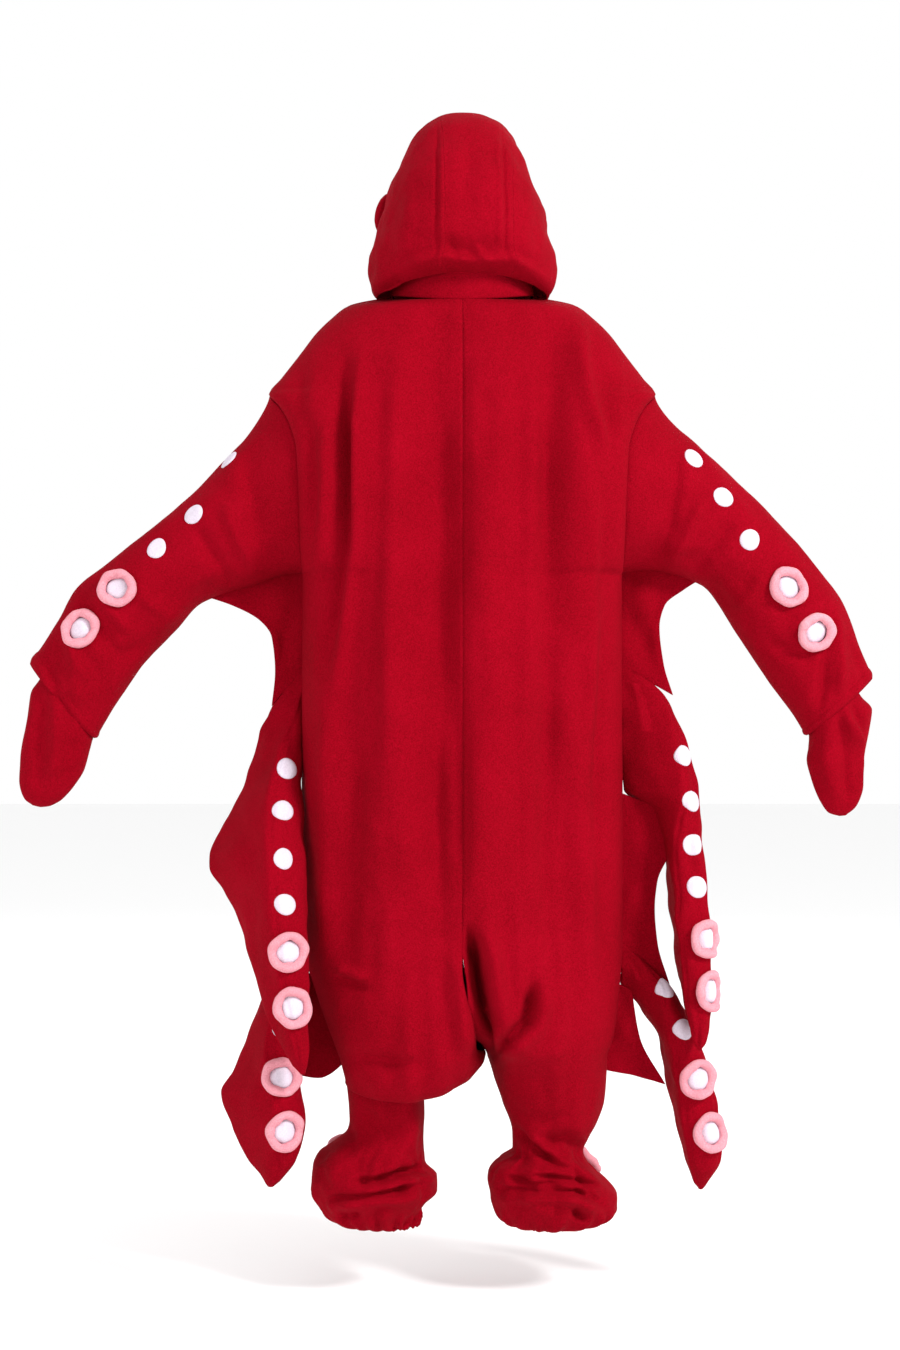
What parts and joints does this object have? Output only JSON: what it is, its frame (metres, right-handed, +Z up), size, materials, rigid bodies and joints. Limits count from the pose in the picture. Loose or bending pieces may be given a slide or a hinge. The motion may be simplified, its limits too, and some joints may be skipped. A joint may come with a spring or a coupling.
{
  "type": "hooded octopus costume",
  "caption": "Hooded fleece jumpsuit shaped as an octopus, with sleeve and leg arms, stuffed side tentacles, webs and padded suckers, hung as it is worn.",
  "frame": {"origin": "centre of the neck opening, at the height of the neck seam at the back", "axes": "+Z up, +Y the way the wearer faces, +X the wearer's right"},
  "size_m": [1.2612, 0.3262, 1.6454],
  "materials": {
    "red_fleece": "napped",
    "white_felt": "matt",
    "pink_fleece": "napped",
    "black_felt": "matt",
    "filling": "matt",
    "elastic": "matt",
    "red_tape": "satin",
    "red_buttons": "gloss"
  },
  "bodies": {
    "torso": {"back_panel_left": "red_fleece", "back_panel_right": "red_fleece", "front_panel_left": "red_fleece", "front_panel_right": "red_fleece", "seat_gusset": "red_fleece", "neckband": "red_fleece", "button_placket": "red_fleece", "buttonhole_placket": "red_fleece", "buttons": "red_buttons", "hanger_loop": "red_tape", "web_upper_left": "red_fleece", "web_upper_right": "red_fleece", "web_middle_left": "red_fleece", "web_middle_right": "red_fleece", "web_lower_left": "red_fleece", "web_lower_right": "red_fleece"},
    "hood": {"hood_left_panel": "red_fleece", "hood_right_panel": "red_fleece", "hood_centre_panel": "red_fleece", "face_hem": "red_fleece", "eye_whites": "white_felt", "eye_pupils": "black_felt"},
    "sleeve_left": {"sleeve_left": "red_fleece", "wrist_hem_left": "red_fleece", "white_discs_sleeve_left": "white_felt", "pink_rings_sleeve_left": "pink_fleece"},
    "sleeve_tip_left": {"sleeve_tip_left": "red_fleece"},
    "sleeve_right": {"sleeve_right": "red_fleece", "wrist_hem_right": "red_fleece", "white_discs_sleeve_right": "white_felt", "pink_rings_sleeve_right": "pink_fleece"},
    "sleeve_tip_right": {"sleeve_tip_right": "red_fleece"},
    "tentacle_upper_left": {"tentacle_upper_left_front_panel": "red_fleece", "tentacle_upper_left_rear_panel": "red_fleece", "tentacle_upper_left_filling": "filling", "white_discs_tentacle_upper_left": "white_felt", "pink_rings_tentacle_upper_left": "pink_fleece"},
    "tentacle_upper_right": {"tentacle_upper_right_front_panel": "red_fleece", "tentacle_upper_right_rear_panel": "red_fleece", "tentacle_upper_right_filling": "filling", "white_discs_tentacle_upper_right": "white_felt", "pink_rings_tentacle_upper_right": "pink_fleece"},
    "tentacle_lower_left": {"tentacle_lower_left_front_panel": "red_fleece", "tentacle_lower_left_rear_panel": "red_fleece", "tentacle_lower_left_filling": "filling", "white_discs_tentacle_lower_left": "white_felt", "pink_rings_tentacle_lower_left": "pink_fleece"},
    "tentacle_lower_right": {"tentacle_lower_right_front_panel": "red_fleece", "tentacle_lower_right_rear_panel": "red_fleece", "tentacle_lower_right_filling": "filling", "white_discs_tentacle_lower_right": "white_felt", "pink_rings_tentacle_lower_right": "pink_fleece"},
    "leg_left": {"leg_left": "red_fleece", "ankle_cuff_left": "red_fleece", "ankle_elastic_left": "elastic", "pink_rings_leg_left": "pink_fleece"},
    "leg_right": {"leg_right": "red_fleece", "ankle_cuff_right": "red_fleece", "ankle_elastic_right": "elastic", "pink_rings_leg_right": "pink_fleece"}
  },
  "joints": [
    {"name": "hood_back", "type": "hinge", "parent": "torso", "child": "hood", "pos_m": [0, -0.118, 0.044], "axis": [1, 0, 0], "range_deg": [0, 100]},
    {"name": "raise_sleeve_left", "type": "hinge", "parent": "torso", "child": "sleeve_left", "pos_m": [-0.268, 0, -0.152], "axis": [0, 1, 0], "range_deg": [-8, 50], "deforming": ["web_upper_left"]},
    {"name": "flop_sleeve_tip_left", "type": "hinge", "parent": "sleeve_left", "child": "sleeve_tip_left", "pos_m": [-0.594, 0, -0.589], "axis": [0, 1, 0], "range_deg": [-8, 15]},
    {"name": "raise_sleeve_right", "type": "hinge", "parent": "torso", "child": "sleeve_right", "pos_m": [0.268, 0, -0.152], "axis": [0, -1, 0], "range_deg": [-8, 50], "deforming": ["web_upper_right"]},
    {"name": "flop_sleeve_tip_right", "type": "hinge", "parent": "sleeve_right", "child": "sleeve_tip_right", "pos_m": [0.562, 0, -0.598], "axis": [0, -1, 0], "range_deg": [-8, 15]},
    {"name": "swing_tentacle_upper_left", "type": "hinge", "parent": "torso", "child": "tentacle_upper_left", "pos_m": [-0.233, 0, -0.65], "axis": [0, 0, -1], "range_deg": [-10, 50]},
    {"name": "swing_tentacle_upper_right", "type": "hinge", "parent": "torso", "child": "tentacle_upper_right", "pos_m": [0.233, 0, -0.65], "axis": [0, 0, 1], "range_deg": [-40, 25]},
    {"name": "swing_tentacle_lower_left", "type": "hinge", "parent": "torso", "child": "tentacle_lower_left", "pos_m": [-0.233, 0, -1.04], "axis": [0, 0, -1], "range_deg": [-10, 50]},
    {"name": "swing_tentacle_lower_right", "type": "hinge", "parent": "torso", "child": "tentacle_lower_right", "pos_m": [0.233, 0, -1.04], "axis": [0, 0, 1], "range_deg": [-40, 25]},
    {"name": "swing_leg_left", "type": "hinge", "parent": "torso", "child": "leg_left", "pos_m": [-0.103, 0, -1.1], "axis": [1, 0, 0], "range_deg": [-15, 15]},
    {"name": "swing_leg_right", "type": "hinge", "parent": "torso", "child": "leg_right", "pos_m": [0.112, 0, -1.1], "axis": [1, 0, 0], "range_deg": [-15, 15]}
  ]
}
